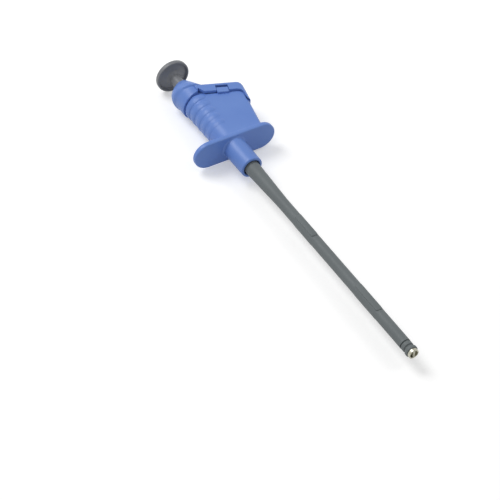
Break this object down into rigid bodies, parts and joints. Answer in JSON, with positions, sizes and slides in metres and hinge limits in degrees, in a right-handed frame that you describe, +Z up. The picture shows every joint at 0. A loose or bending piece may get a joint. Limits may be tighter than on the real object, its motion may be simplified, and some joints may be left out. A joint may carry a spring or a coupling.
{
  "type": "plunger test probe clip",
  "caption": "Plunger test probe clip: thumb button, wedge handle with 4 mm plug socket, long flexible shaft and small jaws that slide out and open.",
  "frame": {"origin": "bottom centre of the whole clip as it lies on its broad side", "axes": "+X along the shaft from the thumb button to the jaws, +Y to the plug socket side of the handle, +Z up"},
  "size_m": [0.1686, 0.0352, 0.0137],
  "materials": {
    "blue_plastic": "satin moulded polyamide",
    "grey_plastic": "satin moulded polyamide",
    "shaft_plastic": "satin flexible extruded plastic",
    "brass": "turned brass",
    "steel": "drawn spring steel",
    "socket_metal": "nickel-plated brass",
    "jaw_metal": "plated spring bronze"
  },
  "bodies": {
    "handle": {"cover_cap": "blue_plastic", "body_housing": "blue_plastic", "plug_socket": "socket_metal", "contact_strip": "brass", "contact_sleeve": "brass", "wiper_ring": "brass", "spring_seat": "brass", "return_spring": "steel", "guide_liner": "steel", "shaft_sheath": "shaft_plastic", "shaft_ferrule": "brass", "tip_sleeve": "shaft_plastic", "tip_bush": "brass"},
    "plunger": {"thumb_button": "grey_plastic", "plunger_rod": "steel", "wire_crimp": "brass", "pull_wire": "steel", "jaw_carrier": "brass", "jaw_pin": "steel"},
    "left_jaw": {"jaw_left": "jaw_metal"},
    "right_jaw": {"jaw_right": "jaw_metal"}
  },
  "joints": [
    {"name": "plunger_slide", "type": "slide", "parent": "handle", "child": "plunger", "axis": [1, 0, 0], "range_m": [0, 0.006], "stiffness_N_per_m": 300, "springref_m": -0.003, "deforming": ["return_spring"]},
    {"name": "left_jaw_hinge", "type": "hinge", "parent": "plunger", "child": "left_jaw", "pos_m": [0.0752, -0.00085, 0.00685], "axis": [0, 0, 1], "range_deg": [0, 12.1]},
    {"name": "right_jaw_hinge", "type": "hinge", "parent": "plunger", "child": "right_jaw", "pos_m": [0.0752, -0.00085, 0.00685], "axis": [0, 0, -1], "range_deg": [0, 12.1]}
  ],
  "couplings": [
    {"joint": "left_jaw_hinge", "follows": "plunger_slide", "rad_per_m": 34.907},
    {"joint": "right_jaw_hinge", "follows": "plunger_slide", "rad_per_m": 34.907}
  ]
}
